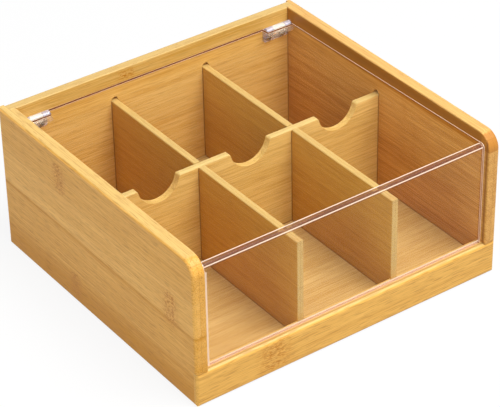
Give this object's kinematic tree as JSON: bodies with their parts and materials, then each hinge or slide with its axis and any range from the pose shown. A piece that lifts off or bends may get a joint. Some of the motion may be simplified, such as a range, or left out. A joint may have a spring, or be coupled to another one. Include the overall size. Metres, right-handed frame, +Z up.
{
  "type": "tea bag organizer box",
  "caption": "Rectangular bamboo box with open-top bays behind a low front rail and a clear acrylic lid that hinges at the back.",
  "frame": {"origin": "on the table under the middle of the box's outside width and depth", "axes": "+Z up; -Y towards the front rail and the lid's front pane; +X to the right as seen from the front"},
  "size_m": [0.24, 0.224, 0.108],
  "materials": {
    "bamboo_board": "carbonised bamboo boards, sanded and sealed with a satin lacquer",
    "thin_bamboo": "thin laminated bamboo, sanded and sealed with a satin lacquer",
    "clear_acrylic": "clear cast acrylic sheet with polished edges",
    "clear_hinge_plastic": "clear moulded plastic",
    "bright_steel": "bright plated steel"
  },
  "bodies": {
    "box": {"left_side_panel": "bamboo_board", "right_side_panel": "bamboo_board", "back_panel": "bamboo_board", "front_rail": "bamboo_board", "floor_panel": "thin_bamboo", "left_long_divider": "thin_bamboo", "right_long_divider": "thin_bamboo", "cross_divider": "thin_bamboo", "left_hinge_back_leaf": "clear_hinge_plastic", "right_hinge_back_leaf": "clear_hinge_plastic", "left_hinge_pin": "bright_steel", "right_hinge_pin": "bright_steel", "hinge_screws": "bright_steel"},
    "lid": {"acrylic_lid": "clear_acrylic", "left_hinge_lid_leaf": "clear_hinge_plastic", "right_hinge_lid_leaf": "clear_hinge_plastic"}
  },
  "joints": [
    {"name": "lid_hinge", "type": "hinge", "parent": "box", "child": "lid", "pos_m": [0, 0.1, 0.0975], "axis": [-1, 0, 0], "range_deg": [0, 103]}
  ]
}
